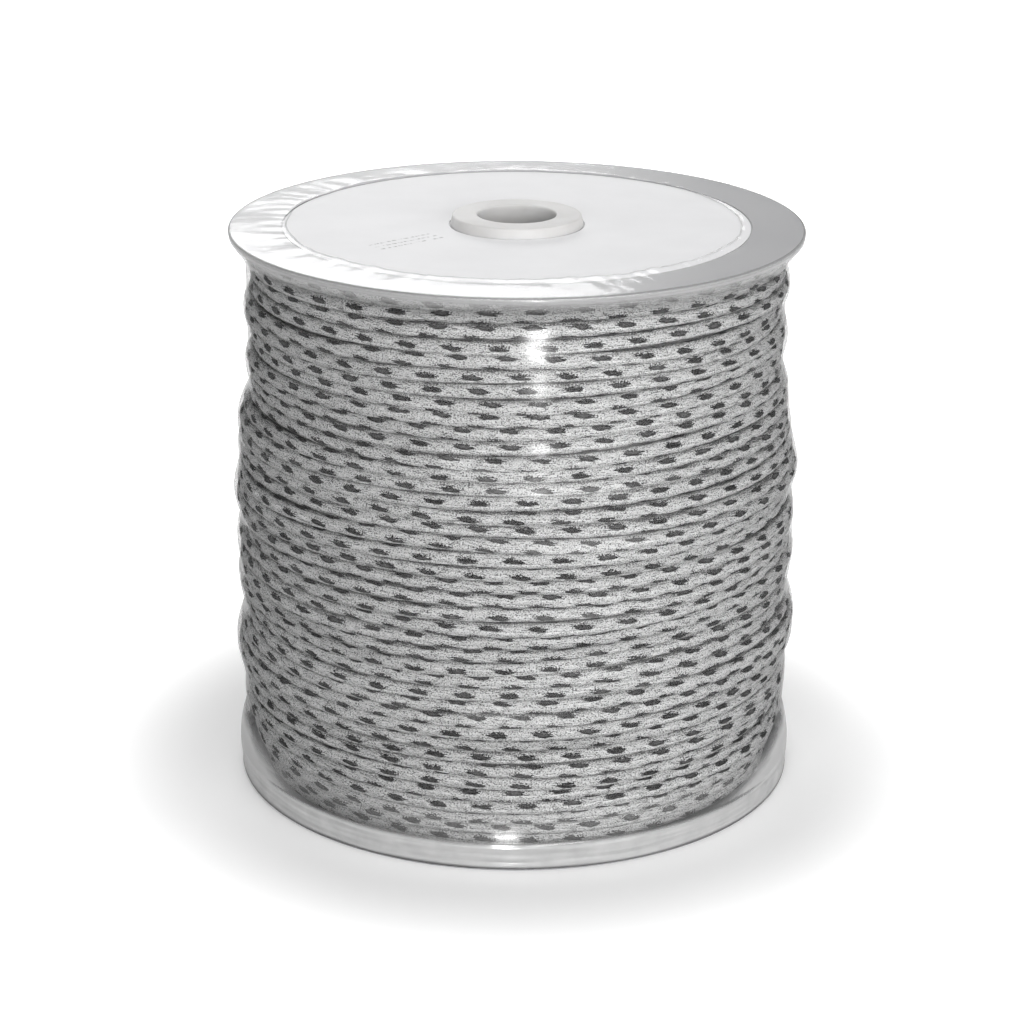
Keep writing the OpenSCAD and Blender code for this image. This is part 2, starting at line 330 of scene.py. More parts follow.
# %% Wind the cord
turns = (inner_top - inner_bottom - 2 * FLANGE_GAP - CORD_TALL) / TURN_PITCH
turn = np.linspace(0, turns, int(turns * RINGS_PER_TURN))
angle = START_ANGLE + TAU * turn
settle = ease(turn) * ease(turns - turn)  # 0 at both ends, and 1 from a turn away from them
to_come = turns - turn
lift = ease(1 - (to_come - END_DROP_TURNS) / END_LIFT_TURNS) * ease(to_come / END_DROP_TURNS)
z_line = inner_bottom + FLANGE_GAP + CORD_TALL / 2 + TURN_PITCH * turn + END_LIFT * lift
z_line = z_line + settle * (
    SWAY * ripple(SWAY_WAVES, angle, z_line) + JITTER * wander(turn, JITTER_RATES, seed=21)
)
tuck = TUCK_DEPTH * (2 - ease(turn / TUCK_TURNS) - ease(to_come / TUCK_TURNS))
ride_wave = wander(turn, RIDE_RATES, seed=22, count=9)
ride = settle * RIDE_MOST * np.tanh(RIDE / RIDE_MOST * ride_wave)
r_line = wound_r(angle, z_line) - CORD_DEEP / 2 - tuck + ride
steps = np.linalg.norm(np.diff(turned(r_line, angle, z_line), axis=0), axis=1)
length = np.concatenate([[0], np.cumsum(steps)])
print(f"outer layer: {turns:.1f} turns, {length[-1]:.1f} m of cord")


# %% Carry the section along the cord
def pick_height(along, around):
    """Height of the braid's picks, up to 1: across a row, the square root of a cosine; along a pick, a
    level share plus a cosine. along is in fleck periods and around in turns round the cord."""
    row = np.round(around * ROWS_ROUND)
    across = around * ROWS_ROUND - row
    ahead = along * PICKS_PER_PERIOD - row * ROW_STEP
    ahead = ahead - np.round(ahead)
    lengthwise = PICK_LEVEL + (1 - PICK_LEVEL) * np.cos(np.pi * ahead)
    return np.sqrt(np.maximum(np.cos(np.pi * across), 0)) * lengthwise


share = np.arange(SECTION_POINTS + 1) / SECTION_POINTS
around = share - SECTION_CROWDING * np.sin(TAU * share) / TAU
out, up = np.cos(TAU * around[:-1]), np.sin(TAU * around[:-1])
box_out = np.sign(out) * np.abs(out) ** SECTION_POWER
box_up = np.sign(up) * np.abs(up) ** SECTION_POWER
twist = TWIST_PER_TURN * turn + TWIST_WANDER * wander(turn, TWIST_RATES, seed=23)
cord_u = np.broadcast_to((length / FLECK_PERIOD)[:, None], (len(turn), SECTION_POINTS + 1))
cord_v = around[None, :] + twist[:, None]
relief = RELIEF * (pick_height(cord_u, cord_v)[:, :-1] - 0.5)
from_end = np.minimum(length, length[-1] - length)
tip = np.sqrt(1 - (1 - np.clip(from_end / TIP, TIP_CUT, 1)) ** 2)
cord_r = r_line[:, None] + (box_out * CORD_DEEP / 2 + out * relief) * tip[:, None]
cord_z = z_line[:, None] + (box_up * CORD_TALL / 2 + up * relief) * tip[:, None]
cord_points = turned(cord_r, angle[:, None], cord_z)
cord_uv = np.stack([cord_u, cord_v], axis=-1)
# How far each point is pressed out of sight between two turns: the braid paints its seam shade from this.
pressed = (1 - out[None, :]) / 2 - RIDE_BARES * (ride / RIDE_MOST)[:, None]
cuts = np.linspace(0, len(turn) - 1, LENGTHS + 1).astype(int)
cord_lengths = []
for number, (first, last) in enumerate(zip(cuts[:-1], cuts[1:]), start=1):
    part = slice(first, last + 1)
    cord = add_surface(f"cord_turns_{number}", cord_points[part], cord_uv[part], capped=True)
    cord.data.attributes.new("pressed", "FLOAT", "POINT").data.foreach_set("value", pressed[part].ravel())
    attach(cord, BODY)
    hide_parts("cord_outer_layer")
    cord_lengths.append(cord)

# %% [markdown]
# ## The layers below
#
# Under the outer turns lie seven or eight more layers. They show only as a dark glimpse where two turns
# part, so one turned body stands for them, from the drum out to where the outer turns rest. Its outside
# carries the same lumps, because it is what makes them, and shallow ridges for its own turns. It is a
# grid that closes both ways: up the outside and back down along the drum.

# %% Turn the inner layers
UNDER_COLS = 160
UNDER_ROWS = 260
RIDGE = 0.35 * MM  # height of a ridge
DRUM_GAP = 0.05 * MM
under_angle = TAU * np.arange(UNDER_COLS) / UNDER_COLS
under_z = np.linspace(inner_bottom + FLANGE_GAP, inner_top - FLANGE_GAP, UNDER_ROWS)
grid_z, grid_angle = np.meshgrid(under_z, under_angle, indexing="ij")
ridges = RIDGE * np.abs(np.sin(np.pi * (grid_z / TURN_PITCH - grid_angle / TAU)))
under_r = wound_r(grid_angle, grid_z) - CORD_DEEP - RIDE_MOST - RIDGE + ridges
ends = ((1, 1), (0, 0))
under_r = np.pad(under_r, ends, constant_values=drum_r + DRUM_GAP)
under_points = turned(under_r, under_angle, np.pad(grid_z, ends, mode="edge"))
under = add_surface("cord_under_layers", under_points, round_rows=True)
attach(under, BODY)
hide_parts("cord_core")

# %% [markdown]
# ## The shrink film
#
# The film is a bag that was shrunk with hot air. It grips the lower flange's edge, bulges a little on
# its way to the winding, hugs the winding, goes out to the upper flange's edge and laps over it. Its
# free edge puckers, just outside the label on one side of the reel and just over it on the other. It is
# made as one closed thin shell: a profile goes up the outside and comes back down the inside, and the
# whole loop is carried round the axis. Where two spans meet, a soft maximum of the two radii gives the
# drawn curve that tight film has.
#
# Each point keeps two numbers for the finish: how far across the lap it lies, and whether it is on the
# outer skin.

# %% Film sizes
FILM_T = 0.15 * MM
FILM_SPARE = 0.16 * MM             # room over the highest pick of the highest turn
FILM_OFF = RIDE_MOST + RELIEF / 2 + FILM_SPARE  # from the turns' usual outside to the film's
SOFTNESS = 0.25 * MM               # how round the corner between two spans is drawn
FILM_HUG = 0.2 * MM                # from a flange's edge to the film's outside
FILM_INSIDE = 0.03 * MM            # how far the film's fullest place stays inside the frame's film
FOOT_SPAN = 18 * MM                # height over which the film spans from the lower flange's edge
FOOT_BULGE = 1.5 * MM              # how far it bulges out over that span
NECK_SPAN = 6 * MM                 # height over which it draws in below the upper flange's edge
EDGE_ROUND = 0.6 * MM              # rounding of the flanges' edges
LAP_LIFT = 0.1 * MM                # how far the lap lies off the flange
LAP_OVER = 4.5 * MM                # how much further in the lap reaches on one side than on the other
LAP_SIDE = math.radians(-70)       # direction of that side
LAP_SHORT = 0.6 * MM               # how far outside the label the lap ends on the other side
LAP_WANDER = 0.3 * MM              # usual wander of the free edge
LABEL_STEP = (1.5 * MM, 1.0 * MM)  # where the lap's step on to the label starts, outside it, and its run
PUCKER = 0.14 * MM                 # usual height of the free edge's puckers
PUCKER_FULL = 0.6                  # share of the lap beyond which they keep their height
CREASE = 0.4                       # height of the lap's creases, in puckers
FILM_COLS = 360
OUTER_ROWS = (120, 12)             # rows up the outer skin's side, and round its bend and over its lap
INNER_ROWS = (60, 10)
film_skin_r = flange_r + FILM_HUG
film_most_r = film_out_r - FILM_INSIDE
BAG = 0.25 * MM                    # usual sideways wander of the bulge
BAG_WAVES = waves(seed=14, count=5, lobes=(2, 7), wavelengths=(60 * MM, 120 * MM))
PUCKER_WAVES = waves(seed=8, count=10, lobes=(7, 53), wavelengths=(40 * MM, 90 * MM))
CREASE_WAVES = waves(seed=9, count=8, lobes=(2, 17), wavelengths=(20 * MM, 60 * MM))


def soft_max(a, b, softness):
    """The larger of two lengths, with the corner between them drawn round: the logarithm of the sum of
    their exponentials, in units of the softness."""
    high, low = np.maximum(a, b), np.minimum(a, b)
    return high + softness * np.log1p(np.exp((low - high) / softness))


def film_r(angle, z):
    """Outer radius of the film at an angle and a height: just outside the turns, or the span from a
    flange's edge where that lies further out. The lower span bulges by a half sine, unevenly."""
    on_cord = wound_r(angle, z) + FILM_OFF
    foot_top = wound_r(angle, inner_bottom + FOOT_SPAN) + FILM_OFF
    climb = np.clip((z - inner_bottom) / FOOT_SPAN, 0, 1)
    bulge = FOOT_BULGE + BAG * (ripple(BAG_WAVES, angle, z) - 1)
    foot = film_skin_r + (foot_top - film_skin_r) * climb + bulge * np.sin(np.pi * climb)
    neck_foot = wound_r(angle, inner_top - NECK_SPAN) + FILM_OFF
    neck = film_skin_r + (neck_foot - film_skin_r) * np.clip((inner_top - z) / NECK_SPAN, 0, 1)
    spans = np.where(z > (inner_bottom + inner_top) / 2, neck, foot)
    outside = soft_max(on_cord, spans, SOFTNESS) - SOFTNESS * np.log(2)
    return np.minimum(outside, film_most_r)


# %% Shrink the film
film_angle = TAU * np.arange(FILM_COLS) / FILM_COLS


def film_side(rows, inset):
    """Radius and height of the film's side, from the lower edge up to the upper flange's rounding."""
    z = np.linspace(inner_bottom, inner_top, rows)
    z, angle = np.meshgrid(z, film_angle, indexing="ij")
    return film_r(angle, z) - inset, z


def film_lap(rows, inset):
    """Radius and height of the film round the upper edge's rounding and in to its puckered free edge,
    and the share of the lap covered so far, from 0 on the rounding to 1 at the free edge."""
    bend = np.linspace(0, np.pi / 2, rows)[:, None]
    reach = film_skin_r - inset - (flange_r - EDGE_ROUND)
    corner_r = flange_r - EDGE_ROUND + reach * np.cos(bend)
    corner_z = reel_h - EDGE_ROUND + reach * np.sin(bend) + 0 * film_angle
    inward = (np.arange(1, rows + 1) / rows)[:, None]
    edge_r = label_r + LAP_SHORT - LAP_OVER * (1 + np.cos(film_angle - LAP_SIDE)) / 2
    edge_r = edge_r + LAP_WANDER * ripple(CREASE_WAVES, film_angle, 0)
    lap_r = (flange_r - EDGE_ROUND) * (1 - inward) + edge_r * inward
    crease = ripple(CREASE_WAVES, film_angle + 0 * lap_r, lap_r) * CREASE
    pucker = ripple(PUCKER_WAVES, film_angle + 0 * lap_r, lap_r) * inward
    lift = PUCKER * np.abs(crease + pucker) * np.sin(np.pi * np.minimum(inward, PUCKER_FULL))
    on_label = (label_top - reel_h) * ease((label_r + LABEL_STEP[0] - lap_r) / LABEL_STEP[1])
    lap_z = reel_h + LAP_LIFT + FILM_T - inset + lift + on_label
    corner_r = corner_r + 0 * film_angle
    lap_share = np.concatenate([0 * corner_r, inward + 0 * lap_r])
    return np.concatenate([corner_r, lap_r]), np.concatenate([corner_z, lap_z]), lap_share


def film_skin(side_rows, lap_rows, inset):
    """One skin of the film from its lower edge to its free edge: radius, height and share of the lap."""
    side_r, side_z = film_side(side_rows, inset)
    lap_r, lap_z, lap_share = film_lap(lap_rows, inset)
    low_r = np.full((1, FILM_COLS), film_skin_r - inset)
    low_z = np.full((1, FILM_COLS), EDGE_ROUND)
    no_lap = np.zeros((side_rows + 1, FILM_COLS))
    return (
        np.concatenate([low_r, side_r, lap_r]),
        np.concatenate([low_z, side_z, lap_z]),
        np.concatenate([no_lap, lap_share]),
    )


outer_r, outer_z, outer_lap = film_skin(*OUTER_ROWS, 0)
inner_r, inner_z, inner_lap = film_skin(*INNER_ROWS, FILM_T)
skin_r = np.concatenate([outer_r, inner_r[::-1]])
skin_z = np.concatenate([outer_z, inner_z[::-1]])
skin_lap = np.concatenate([outer_lap, inner_lap[::-1]])
skin_outer = np.concatenate([1 + 0 * outer_lap, 0 * inner_lap])
film_points = turned(skin_r, film_angle, skin_z)
columns = np.arange(FILM_COLS + 1) / FILM_COLS
climbs = (np.concatenate([skin_z, skin_z[:1]])[:, :1] - inner_bottom) / TURN_PITCH
film_uv = np.stack([columns + 0 * climbs, climbs - columns], axis=-1)
film = add_surface("film", film_points, film_uv, round_rows=True)
for title, values in (("lap", skin_lap), ("outer", skin_outer)):
    film.data.attributes.new(title, "FLOAT", "POINT").data.foreach_set("value", values.ravel())
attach(film, BODY)
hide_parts("film_wrap")

# %% [markdown]
# ## Writing materials as sums
#
# A material is a small calculation for every point of a surface. Adding its nodes one by one hides that,
# so two short classes let a material be written as arithmetic. A Wire is one output of one node, and
# adding or multiplying wires adds Math nodes. A Finish is a material or a world under construction, and
# its one method `node` makes any other node from its type, its settings and its inputs' values.


# %% Wires and finishes
class Wire:
    """One output of a node. Arithmetic on wires and numbers adds Math nodes to the same material."""

    def __init__(self, finish, node, output=0):
        self.finish = finish
        self.node = node
        self.socket = node.outputs[output]

    def out(self, output):
        """Another output of the same node."""
        return Wire(self.finish, self.node, output)

    def maths(self, operation, *values, clamp=False):
        settings = {"operation": operation, "use_clamp": clamp}
        return self.finish.node("ShaderNodeMath", settings, dict(enumerate(values)))

    def __add__(self, other):
        return self.maths("ADD", self, other)

    def __sub__(self, other):
        return self.maths("SUBTRACT", self, other)

    def __rsub__(self, other):
        return self.maths("SUBTRACT", other, self)

    def __mul__(self, other):
        return self.maths("MULTIPLY", self, other)

    def __truediv__(self, other):
        return self.maths("DIVIDE", self, other)

    def __pow__(self, other):
        return self.maths("POWER", self, other)

    def __abs__(self):
        return self.maths("ABSOLUTE", self)

    __radd__ = __add__
    __rmul__ = __mul__

    def clipped(self):
        """This value held between 0 and 1."""
        return self.maths("ADD", self, 0, clamp=True)

    def rounded(self):
        return self.maths("ROUND", self)

    def sine(self):
        return self.maths("SINE", self)

    def ramp(self, low, high):
        """A smooth step from 0 at low to 1 at high. It steps down where low is above high."""
        settings = {"interpolation_type": "SMOOTHSTEP"}
        return self.finish.node("ShaderNodeMapRange", settings, {0: self, 1: low, 2: high, 3: 0, 4: 1})


class Finish:
    """A material, or a world, under construction."""

    def __init__(self, name, kinds=bpy.data.materials):
        self.made = kinds.new(name)
        self.made.use_nodes = True
        self.tree = self.made.node_tree
        self.tree.nodes.clear()

    def node(self, kind, settings=None, inputs=None, output=0):
        """A node of this type. Settings are set first, then each input gets its value or wire."""
        node = self.tree.nodes.new(kind)
        for name, value in (settings or {}).items():
            setattr(node, name, value)
        for key, value in (inputs or {}).items():
            if isinstance(value, Wire):
                self.tree.links.new(value.socket, node.inputs[key])
            else:
                node.inputs[key].default_value = value
        return Wire(self, node, output)

    def place(self):
        """Object coordinates: metres in the reel's own frame."""
        return self.node("ShaderNodeTexCoord", output="Object")

    def split(self, vector):
        """The three parts of a vector, as wires."""
        parts = self.node("ShaderNodeSeparateXYZ", inputs={0: vector})
        return parts, parts.out(1), parts.out(2)

    def join(self, x, y, z=0.0):
        return self.node("ShaderNodeCombineXYZ", inputs={0: x, 1: y, 2: z})

    def noise(self, vector, scale, detail=2.0, roughness=0.5):
        inputs = {"Vector": vector, "Scale": scale, "Detail": detail, "Roughness": roughness}
        return self.node("ShaderNodeTexNoise", inputs=inputs)

    def drawn_noise(self, cells, detail):
        """Noise with its own number of cells per metre along each axis."""
        drawn = self.node("ShaderNodeMapping", inputs={"Vector": self.place(), "Scale": cells})
        return self.noise(drawn, 1.0, detail)

    def kept(self, attribute):
        """A number that each point of the mesh keeps under this name."""
        return self.node("ShaderNodeAttribute", {"attribute_name": attribute}, output="Fac")

    def blend(self, share, first, second):
        """A mix of two colours by a share from 0 to 1."""
        settings = {"data_type": "RGBA"}
        return self.node("ShaderNodeMix", settings, {0: share, 6: first, 7: second}, output=2)

    def bump(self, height, distance, strength=1.0):
        """A normal that follows a height of 0 to 1, which stands for this many metres."""
        inputs = {"Height": height, "Distance": distance, "Strength": strength}
        return self.node("ShaderNodeBump", inputs=inputs)

    def surface(self, **inputs):
        """A Principled shader. Underscores stand for the spaces in its socket names."""
        named = {key.replace("_", " "): value for key, value in inputs.items()}
        return self.node("ShaderNodeBsdfPrincipled", inputs=named)

    def looked_at(self):
        """1 for rays from the camera, reflections and clear film, and 0 for the light on a surface."""
        ray = self.node("ShaderNodeLightPath", output="Is Camera Ray")
        return (ray + ray.out("Is Glossy Ray") + ray.out("Is Transmission Ray")).clipped()

    def done(self, shader, kind="ShaderNodeOutputMaterial"):
        """Connects the shader to the output and returns the finished material or world."""
        output = self.tree.nodes.new(kind)
        self.tree.links.new(shader.socket, output.inputs["Surface"])
        return self.made


def grey(level, warmth=0.0):
    """A neutral colour of this linear level, a little yellower for a warmth above 0 and bluer below."""
    return (level * (1 + warmth), level * (1 + min(warmth, 0)), level * (1 - warmth), 1)


def wear(piece, material):
    """Gives a piece this one material."""
    piece.data.materials.clear()
    piece.data.materials.append(material)


# %% [markdown]
# ## The braid's finish
#
# The cord is braided from soft white yarn and one black tracer. The tracer comes to the surface in every
# second row and every second pick of the lattice, which gives four rows of flecks that climb round the
# cord. The finish finds its place in that lattice from the texture coordinates, which run along and
# round the cord, so the flecks lie exactly on the picks of the mesh. An image of a braid would be
# quicker, but it would stretch and repeat. A fleck's outline is frayed by noise, and fine grain drawn
# out along the cord stands for the fibres. Some flecks carry a painted sheen, lighter in the middle.
# Shade is painted into the creases between picks, and into the seams between turns where a turn is
# pressed out of sight, but not everywhere alike.
#
# The layers below are the same yarn, painted dark as yarn in shade, and so need no lattice.

# %% Braid
PICK_LEAN = 0.30        # how far a pick leans across its row, in rows per pick
FLECK_HALF = 0.47       # half a fleck's length, in picks
FLECK_HALF_H = 0.55     # half its height, in rows
FLECK_POWER = 0.45      # a half would be plain distance; a little less lets the outline fray
CREASE_SHADE = 0.24      # painted shade: how much darker the white is between two picks
FIBRE_DARK = 2.8        # how strongly the fibres show in the white
PATCH_DARK = 0.6        # and slow patches
SHADE_LEFT = 0.16       # share of the white's light that is left in the darkest painted seam shade
TRACER_BASE = 0.20      # the tracer's place between its black and its shine
TRACER_FIBRE = 1.6      # how far the fibres and the painted sheen move it
TRACER_PAINTED_SHEEN = 0.75
TRACER_SHINE = 9        # how many times lighter its shine is than its black: the light end that fibres and painted sheen reach towards
FIBRE_DEPTH = 0.6 * MM  # height that the bump gives to the grain


def braid(name, light, dark):
    """White braid with black flecks: a lattice of rounded picks with fibre grain."""
    f = Finish(name)
    along, around, _ = f.split(f.node("ShaderNodeTexCoord", output="UV"))
    pressed = f.kept("pressed")

    # Noises about zero, in cells per fleck period and per turn round the cord.
    strand = f.noise(f.join(along * 5, around * 25 + along * 2), 1.0, 2.0, 0.7) - 0.5
    speck = f.noise(f.join(along * 26, around * 40), 1.0, 1.0) - 0.5
    fibre = strand + speck * 1.7
    soft = f.noise(f.join(along * 5, around * 8), 1.0, 1.0) - 0.5
    patch = f.noise(f.join(along * 1.1, around * 1.5), 1.0, 1.0) - 0.5

    # The lattice: a point's row and pick, and its distance from the middle of each.
    row_place = around * ROWS_ROUND + soft * 0.5 + fibre * 0.4
    row = row_place.rounded()
    across = row_place - row
    pick_place = along * PICKS_PER_PERIOD - row * ROW_STEP + soft * 0.2
    pick = pick_place.rounded()
    ahead = pick_place - pick

    # The tracer: the nearest of every second row and every second pick, and the fleck there.
    tracer = (row_place / 2).rounded() * 2
    fleck_place = along * PICKS_PER_PERIOD - tracer * ROW_STEP + soft * 0.2
    fleck_pick = (fleck_place / 2).rounded() * 2
    from_middle = fleck_place - fleck_pick
    leaning = row_place - tracer + from_middle * PICK_LEAN
    reach = ((abs(from_middle) / FLECK_HALF) ** 2.0 + (abs(leaning) / FLECK_HALF_H) ** 2.0) ** FLECK_POWER
    fleck = (reach + strand * 1.3 + speck * 0.7).ramp(1.10, 0.88)
    chance = f.node(
        "ShaderNodeTexWhiteNoise", {"noise_dimensions": "2D"}, {0: f.join(tracer, fleck_pick)}
    )
    # A painted sheen: some flecks painted lighter in the middle, as a highlight on the black yarn.
    painted_sheen = (reach + fibre * 1.2).ramp(0.75, 0.25) * chance.ramp(0.35, 0.9)

    # The white: painted shade in the creases between picks and in the seams between turns, with the fibres'
    # grain and slow patches.
    edge = across.maths("MAXIMUM", abs(across) * 2.0, abs(ahead) * 2.0)
    crease = edge.ramp(0.55, 1.0)
    # Painted seam shade where a turn is pressed out of sight, frayed by noise and uneven along the cord.
    seam = (pressed + soft * 0.14 + fibre * 0.25 + patch * 0.15).ramp(0.02, 0.38)
    seam_shade_depth = 3.6 * f.noise(f.join(along * 0.7, around * 0.8 + 31), 1.0, 1.0) - 1.2
    shade = 1.0 - CREASE_SHADE * crease - seam * seam_shade_depth.clipped()
    shade = (shade + FIBRE_DARK * fibre + PATCH_DARK * patch).clipped()
    white = f.blend(shade, grey(light * SHADE_LEFT), grey(light))
    shine = (TRACER_BASE + TRACER_FIBRE * fibre + TRACER_PAINTED_SHEEN * painted_sheen).clipped()
    black = f.blend(shine, grey(dark), grey(dark * TRACER_SHINE))
    colour = f.blend(fleck, white, black)
    normal = f.bump(fibre - crease * 0.25, FIBRE_DEPTH, 1.0)
    return f.done(f.surface(Base_Color=colour, Roughness=0.85, Normal=normal, Specular_IOR_Level=0.2))


cord_braid = braid("cord_braid", light=0.88, dark=0.016)
for cord in cord_lengths:
    wear(cord, cord_braid)


# %% Layers below
ALONG_TURNS = (250, 250, 2600)  # cells of the grain per metre, drawn out level with the turns


def plain_braid(name, low, high):
    """The same yarn between two grey levels, with its grain along the turns."""
    f = Finish(name)
    grain = f.drawn_noise(ALONG_TURNS, 3.0)
    patches = f.noise(f.place(), 260.0, 2.0)
    colour = f.blend((grain * 0.6 + patches * 0.5).ramp(0.35, 0.8), grey(low), grey(high))
    return f.done(f.surface(Base_Color=colour, Roughness=0.9, Normal=f.bump(grain, 0.3 * MM)))


# The layers below: the white yarn painted at 0.08 to 0.30, as shade between the parted turns.
wear(under, plain_braid("cord_under_braid_painted_shade", 0.08, 0.30))
wear(nodes["cord_start"], plain_braid("cord_start_braid", 0.30, 0.75))

# %% [markdown]
# ## Plastic, paper and board
#
# The flanges are moulded in one cool grey plastic with a satin skin. The lower one is painted lighter
# than the upper, as light on its shaded face that shows through the film at the foot.
# The collars and the hub tube are natural plastic, which is warmer, waxy and lets a little light in. The
# label is matt paper with a faint block of plain marks. The drum is grey-brown board wound on a slant.
#
# None of them is one flat colour. Each blends two close levels by a soft noise, and a finer noise gives
# the skin its roughness or its bump. Noise scales are in cells per metre, and a bump's distance is the
# real height of what it stands for.


# %% Flange plastic
SCUFF_CELLS = (900, 900, 300)


def flange_plastic(name, low, high):
    """Satin plastic between two grey levels."""
    f = Finish(name)
    cloud = f.noise(f.place(), 30.0, 3.0)
    scuffs = f.drawn_noise(SCUFF_CELLS, 2.0)
    colour = f.blend(cloud.ramp(0.3, 0.7), grey(low, -0.022), grey(high, -0.014))
    rough = 0.30 + 0.12 * cloud + 0.06 * scuffs
    normal = f.bump(scuffs * 0.5 + cloud, 0.04 * MM, 0.6)
    return f.done(f.surface(Base_Color=colour, Roughness=rough, Normal=normal, Specular_IOR_Level=0.25))


# One plastic in two levels: the lower flange's lighter grey is painted light.
wear(nodes["top_flange"], flange_plastic("top_flange_plastic", 0.27, 0.31))
wear(nodes["bottom_flange"], flange_plastic("bottom_flange_plastic_painted_light", 0.46, 0.52))


# %% Natural plastic
def natural_plastic(name, low, high):
    """Waxy plastic between two grey levels."""
    f = Finish(name)
    place = f.place()
    cloud = f.noise(place, 90.0, 3.0)
    fine = f.noise(place, 1400.0, 2.0)
    colour = f.blend(cloud.ramp(0.3, 0.7), grey(low, 0.012), grey(high, 0.008))
    rough = 0.42 + 0.1 * fine
    normal = f.bump(fine + cloud * 0.5, 0.03 * MM, 0.7)
    waxy = {"Subsurface_Weight": 0.35, "Subsurface_Radius": (1.0, 0.95, 0.85), "Subsurface_Scale": 2.5 * MM}
    skin = f.surface(Base_Color=colour, Roughness=rough, Normal=normal, Specular_IOR_Level=0.2, **waxy)
    return f.done(skin)


collar_plastic = natural_plastic("collar_plastic", 0.54, 0.60)
for name in ("top_collar", "bottom_collar"):
    wear(nodes[name], collar_plastic)
wear(nodes["hub_tube"], natural_plastic("hub_plastic", 0.54, 0.60))

# %% Label paper
MARKS_CENTRE = (-30.0 * MM, -21.0 * MM)
MARKS_TURN = math.radians(40)
MARK_PITCH = (2.0 * MM, 2.7 * MM)  # from mark to mark along a row, and from row to row
MARKS_SPAN = (22 * MM, 10.6 * MM)
MARKS_DARK = 0.75                  # how strongly they show where they aren't worn
DASH_ENDS = (0.40, 0.32)           # from a mark's middle, in pitches, to where it fades in lengthwise
DASH_SIDES = (0.17, 0.11)          # and across


def label_paper():
    """Matt paper. The marks are faint dashes in three rows, cut by noise as worn print is."""
    f = Finish("label_paper")
    place = f.place()
    pulp = f.noise(place, 2600.0, 3.0, 0.6)
    cloud = f.noise(place, 60.0, 3.0)
    level = f.blend((cloud * 0.6 + pulp * 0.4).ramp(0.3, 0.7), grey(0.84, -0.006), grey(0.88, -0.006))
    marks_place = f.node(
        "ShaderNodeMapping",
        {"vector_type": "TEXTURE"},
        {0: place, 1: (*MARKS_CENTRE, 0), 2: (0, 0, MARKS_TURN)},
    )
    x, y, _ = f.split(marks_place)
    mark_x = x / MARK_PITCH[0]
    row_y = y / MARK_PITCH[1]
    lengthwise = abs(mark_x - mark_x.rounded()).ramp(*DASH_ENDS)
    dash = lengthwise * abs(row_y - row_y.rounded()).ramp(*DASH_SIDES)
    half_x, half_y = (span / 2 for span in MARKS_SPAN)
    inside = abs(x).ramp(half_x, half_x - MM) * abs(y).ramp(half_y, half_y - MM)
    worn = f.noise(place, 700.0, 2.0).ramp(0.38, 0.62)
    colour = f.blend((dash * inside * worn * MARKS_DARK).clipped(), level, grey(0.25))
    normal = f.bump(pulp, 0.03 * MM, 0.6)
    return f.done(f.surface(Base_Color=colour, Roughness=0.6, Normal=normal, Specular_IOR_Level=0.2))


wear(nodes["top_label"], label_paper())


# %% Drum board
BOARD_PLY_H = 60 * MM  # height of one ply of board, wound on a slant
BOARD_LIGHT = (0.40, 0.32, 0.23, 1)
BOARD_DARK = (0.30, 0.23, 0.16, 1)
BOARD_SEAM = (0.16, 0.12, 0.08, 1)


def drum_board():
    """Board wound from slanted plies, with a dark line where two plies meet."""
    f = Finish("drum_board")
    place = f.place()
    x, y, z = f.split(place)
    plies = z / BOARD_PLY_H + y.maths("ARCTAN2", y, x) / TAU
    seam = abs(plies - plies.rounded()).ramp(0.03, 0.0)
    pulp = f.noise(place, 900.0, 3.0)
    colour = f.blend(seam, f.blend(pulp.ramp(0.3, 0.7), BOARD_DARK, BOARD_LIGHT), BOARD_SEAM)
    return f.done(f.surface(Base_Color=colour, Roughness=0.85, Normal=f.bump(pulp, 0.05 * MM)))


wear(nodes["drum"], drum_board())

# %% [markdown]
# ## The film's finish
#
# Clear film shows only by what it reflects. Its shader mixes a transparent surface with a mirror, and
# the mirror's share follows Fresnel's rule, held down at the edge of sight where thin film is still
# clear. Fine ripples over the turns and soft creases break each reflection up. A single glass shader
# would be simpler, but it bends what lies behind it and turns it dark, which thin film doesn't do.
#
# The clear part isn't clear everywhere. Shrinking leaves the film milky round the lower flange's edge,
# where it is thickest, and below the upper one's. The free span between is hazy where it is seen aslant.
# A dark grey draws the two edges of the lap. The same grey is painted shade round the upper flange's
# rim and over the winding where it is seen edge on, and a near black along the lower edge is a painted
# shadow where the reel meets the floor. What depends on the angle of sight stays on the outer skin,
# because from inside the film Fresnel's rule gives total reflection.

# %% Film finish
FILM_INDEX = 1.42
SIDE_GLOSS_MOST = 0.012               # most that a skin of the film reflects, over the winding
FOOT_SHEEN = 0.07                     # and what it always reflects round the lower flange's edge
LAP_GLOSS_MOST = 0.045                # and on the lap
ON_LAP_H = (reel_h - 2 * MM, reel_h)  # heights between which the side's gloss becomes the lap's
ON_TOP_H = (reel_h - 0.35 * MM, reel_h - 0.05 * MM)
FOOT_MILK = 0.72                      # how milky a skin of the film is at the lower flange's edge
FOOT_MILK_H = (8.8 * MM, 6.8 * MM)    # heights between which that sets in
SPAN_MILK = 0.07                      # the same where the film spans free above that edge
SPAN_FADE = 6 * MM                    # height over which that ends below the winding
EDGE_ON_MILK = 0.70                   # how much milkier that span is where it is seen aslant
ASLANT = (0.08, 0.25)                 # Fresnel shares between which that sets in
LOW_ASLANT = (0.042, 0.10)            # and the same close above the lower flange
LOW_ASLANT_H = (17 * MM, 9 * MM)
EDGE_ON = (0.32, 0.60)                # Fresnel shares between which the film is seen edge on
EDGE_ON_SHADE = 0.60                  # painted shade over the winding where it is seen edge on
NECK_MILK = 0.32                      # how milky it is below the upper flange's edge
